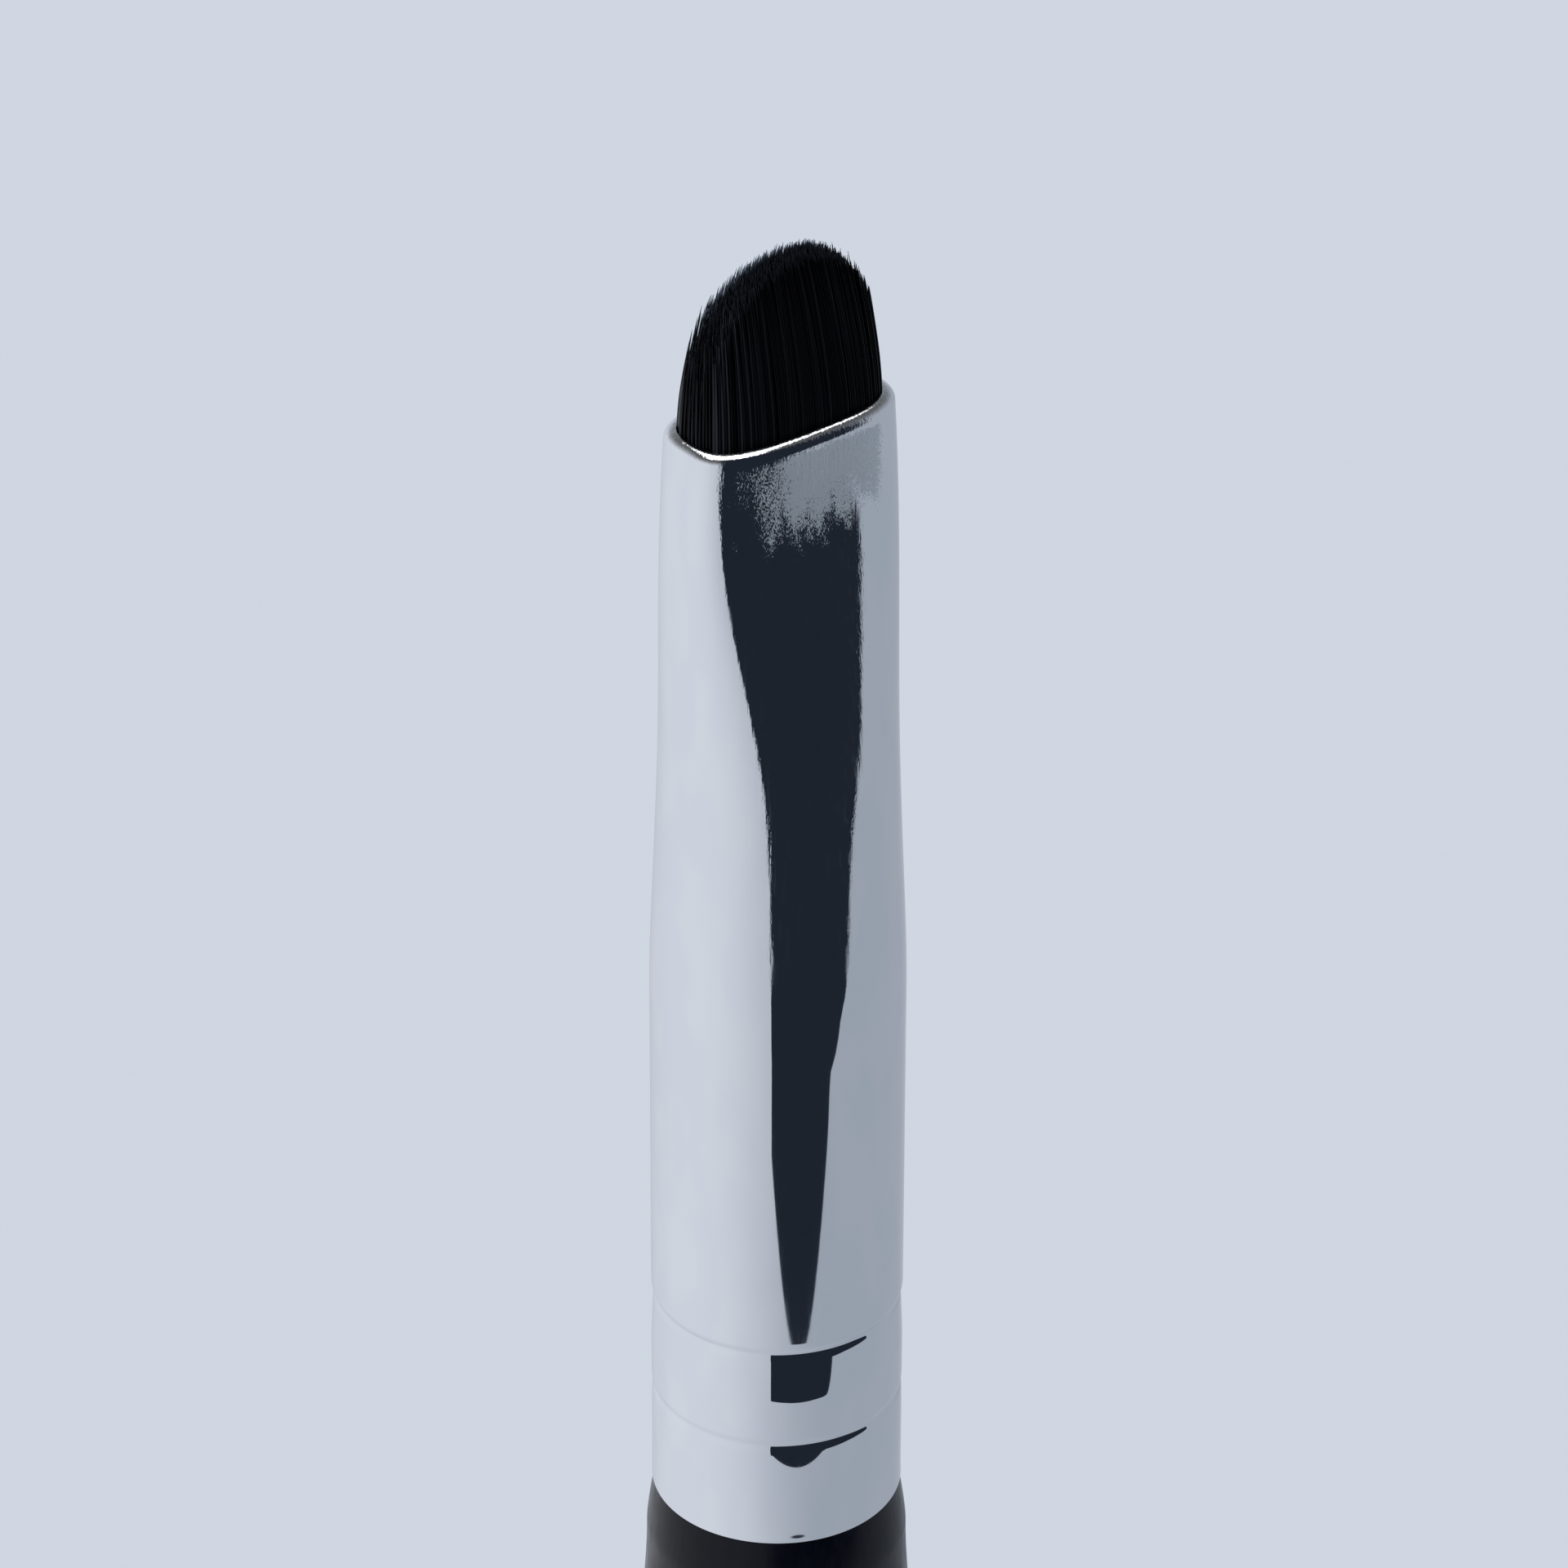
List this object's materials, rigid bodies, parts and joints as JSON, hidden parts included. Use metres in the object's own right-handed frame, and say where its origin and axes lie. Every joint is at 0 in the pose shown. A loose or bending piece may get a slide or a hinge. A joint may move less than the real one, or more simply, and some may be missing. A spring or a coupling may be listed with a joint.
{
  "type": "nail brush",
  "caption": "Slim nail brush: turned black handle, chromed ferrule flattened at its mouth, and a short oval tuft of fine black bristles that flexes about the wide side.",
  "frame": {"origin": "centre of the handle's flat butt end", "axes": "+Z along the brush from the butt to the bristle tips; +X along the wide side of the flattened mouth, towards the slightly longer side of the tuft (toe); Y through the thin side"},
  "size_m": [0.0082, 0.0082, 0.1701],
  "materials": {
    "handle_lacquer": "satin black lacquer over turned wood",
    "joint_glue": "clear cured glue",
    "ferrule_chrome": "polished, with fine scuffs near the mouth",
    "setting_resin": "cured epoxy",
    "waxed_thread": "waxed",
    "bristle_filament": "fine tapered filaments, soft sheen"
  },
  "bodies": {
    "brush": {"handle": "handle_lacquer", "tenon_adhesive": "joint_glue", "ferrule": "ferrule_chrome", "epoxy_plug": "setting_resin", "binding_thread": "waxed_thread", "bristle_roots": "bristle_filament"},
    "tuft": {"bristle_tuft": "bristle_filament"}
  },
  "joints": [
    {"name": "bristle_flex", "type": "hinge", "parent": "brush", "child": "tuft", "pos_m": [0, 0, 0.1668], "axis": [1, 0, 0], "range_deg": [-30, 30], "stiffness_Nm_per_rad": 0.0045}
  ]
}
